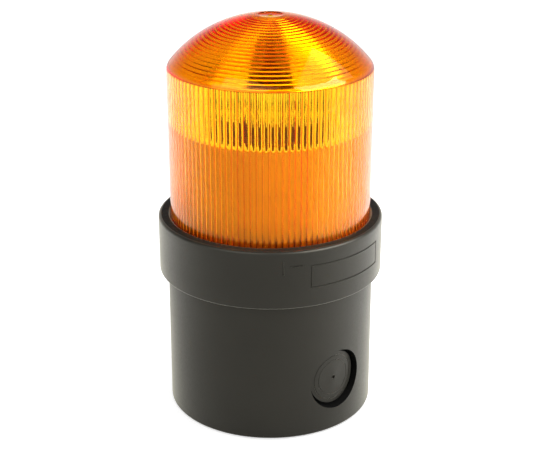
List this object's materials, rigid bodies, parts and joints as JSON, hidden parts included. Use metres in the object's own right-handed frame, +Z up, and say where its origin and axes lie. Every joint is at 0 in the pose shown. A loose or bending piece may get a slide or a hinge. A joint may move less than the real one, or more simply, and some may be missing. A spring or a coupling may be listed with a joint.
{
  "type": "flashing beacon",
  "caption": "Surface-mount flashing beacon with a cylindrical black base, a locking collar and a domed ribbed amber lens over a flash tube; the head twists and lifts off the base.",
  "frame": {"origin": "centre of the mounting face, on the beacon's axis", "axes": "+Z up along the beacon's axis, the side cable entry faces -Y, +X to its right"},
  "size_m": [0.07, 0.07, 0.125],
  "materials": {
    "black_moulding": "satin moulded polyamide",
    "black_insulator": "matte",
    "amber_lens": "clear amber polycarbonate, polished outside",
    "white_moulding": "gloss",
    "grey_insulator": "matte",
    "seal_rubber": "matte",
    "contact_brass": "satin",
    "screw_steel": "zinc plated",
    "circuit_board": "solder resist",
    "capacitor_can": "sleeved can",
    "ferrite": "matte ceramic",
    "copper_winding": "enamelled wire",
    "component_black": "matte",
    "resistor_coat": "lacquered",
    "tube_glass": "clear",
    "electrode_metal": "satin"
  },
  "bodies": {
    "base": {"base_housing": "black_moulding", "base_gasket": "seal_rubber", "terminal_block": "grey_insulator", "terminal_clamps": "contact_brass", "terminal_screws": "screw_steel", "terminal_block_screws": "screw_steel", "contact_springs": "contact_brass"},
    "seal": {"head_seal": "seal_rubber"},
    "head": {"locking_collar": "black_moulding", "contact_plate": "black_insulator", "tube_socket": "black_insulator", "lens": "amber_lens", "chassis": "white_moulding", "lens_seal": "seal_rubber", "contact_tracks": "contact_brass", "chassis_screws": "screw_steel", "control_board": "circuit_board", "storage_capacitor": "capacitor_can", "transformer_core": "ferrite", "transformer_winding": "copper_winding", "trigger_coil": "copper_winding", "switching_transistor": "component_black", "board_resistors": "resistor_coat", "flash_tube": "tube_glass", "tube_electrodes": "electrode_metal", "trigger_bands": "electrode_metal"}
  },
  "joints": [
    {"name": "head_lift", "type": "slide", "parent": "base", "child": "seal", "axis": [0, 0, 1], "range_m": [0, 0.06]},
    {"name": "head_twist", "type": "hinge", "parent": "seal", "child": "head", "pos_m": [0, 0, 0.054], "axis": [0, 0, 1], "range_deg": [-25, 0]}
  ]
}
